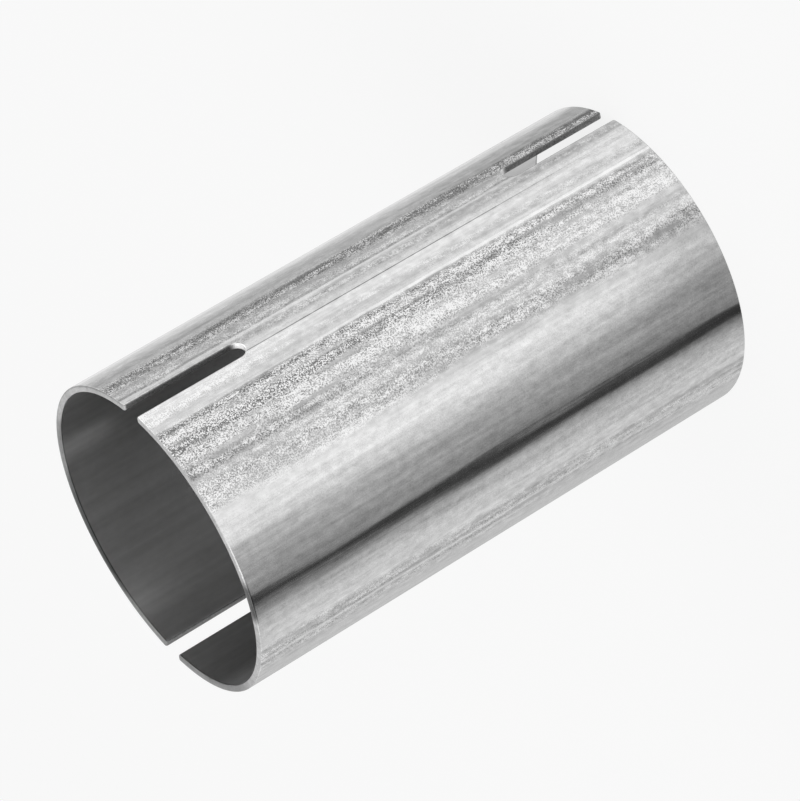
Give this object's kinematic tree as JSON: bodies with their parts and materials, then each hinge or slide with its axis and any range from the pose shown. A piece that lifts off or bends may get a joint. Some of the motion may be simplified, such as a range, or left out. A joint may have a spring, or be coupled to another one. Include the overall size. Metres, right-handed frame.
{
  "type": "slotted splice sleeve",
  "caption": "Thin-walled steel tube sleeve with relief slots in both ends, slipped over two pipe ends and clamped to join them.",
  "frame": {"origin": "centre of the lower end face, on the tube's axis", "axes": "+Z along the tube's axis towards the upper end, +X out through the first slot of the upper end"},
  "size_m": [0.056, 0.056, 0.1],
  "materials": {
    "zinc_coated_steel": "bright zinc coating with drawn streaks along the tube and frosted patches"
  },
  "bodies": {
    "root": {"splice_sleeve": "zinc_coated_steel"}
  },
  "joints": []
}
